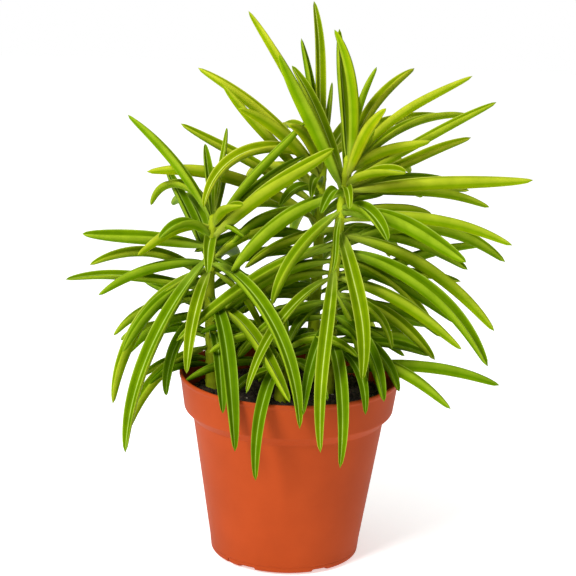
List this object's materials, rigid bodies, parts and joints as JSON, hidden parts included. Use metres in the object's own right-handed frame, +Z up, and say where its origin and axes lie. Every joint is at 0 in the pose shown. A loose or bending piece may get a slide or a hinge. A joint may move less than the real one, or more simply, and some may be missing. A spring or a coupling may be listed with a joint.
{
  "type": "potted plant",
  "caption": "Potted peperomia: bushy foliage of long folded pointed leaves on upright stems, in a round tapered nursery pot filled with soil",
  "frame": {"origin": "centre of the pot's flat underside, on the pot's axis", "axes": "+Z up along the pot's axis, -Y towards the front, +X to the right"},
  "size_m": [0.2187, 0.1699, 0.2621],
  "materials": {
    "pot": "satin terracotta",
    "soil": "rough dark peat",
    "stem": "smooth green",
    "leaf": "waxy green"
  },
  "bodies": {
    "root": {"leaf_A01": "leaf", "leaf_A02": "leaf", "leaf_A03": "leaf", "leaf_A04": "leaf", "leaf_A05": "leaf", "leaf_A06": "leaf", "leaf_A07": "leaf", "leaf_A08": "leaf", "leaf_A09": "leaf", "leaf_A10": "leaf", "leaf_A11": "leaf", "leaf_A12": "leaf", "leaf_A13": "leaf", "leaf_A14": "leaf", "leaf_A15": "leaf", "leaf_A16": "leaf", "leaf_A17": "leaf", "leaf_A18": "leaf", "leaf_B01": "leaf", "leaf_B02": "leaf", "leaf_B03": "leaf", "leaf_B04": "leaf", "leaf_B05": "leaf", "leaf_B06": "leaf", "leaf_B07": "leaf", "leaf_B08": "leaf", "leaf_B09": "leaf", "leaf_B10": "leaf", "leaf_B11": "leaf", "leaf_B12": "leaf", "leaf_B13": "leaf", "leaf_B14": "leaf", "leaf_B15": "leaf", "leaf_B16": "leaf", "leaf_B17": "leaf", "leaf_B18": "leaf", "leaf_B19": "leaf", "leaf_B20": "leaf", "leaf_B21": "leaf", "leaf_B22": "leaf", "leaf_B23": "leaf", "leaf_B24": "leaf", "leaf_B25": "leaf", "leaf_B26": "leaf", "leaf_B27": "leaf", "leaf_C01": "leaf", "leaf_C02": "leaf", "leaf_C03": "leaf", "leaf_C04": "leaf", "leaf_C05": "leaf", "leaf_C06": "leaf", "leaf_C07": "leaf", "leaf_D01": "leaf", "pot": "pot", "soil": "soil", "stem_A": "stem", "stem_B": "stem", "stem_C": "stem", "stem_D": "stem"}
  },
  "joints": []
}
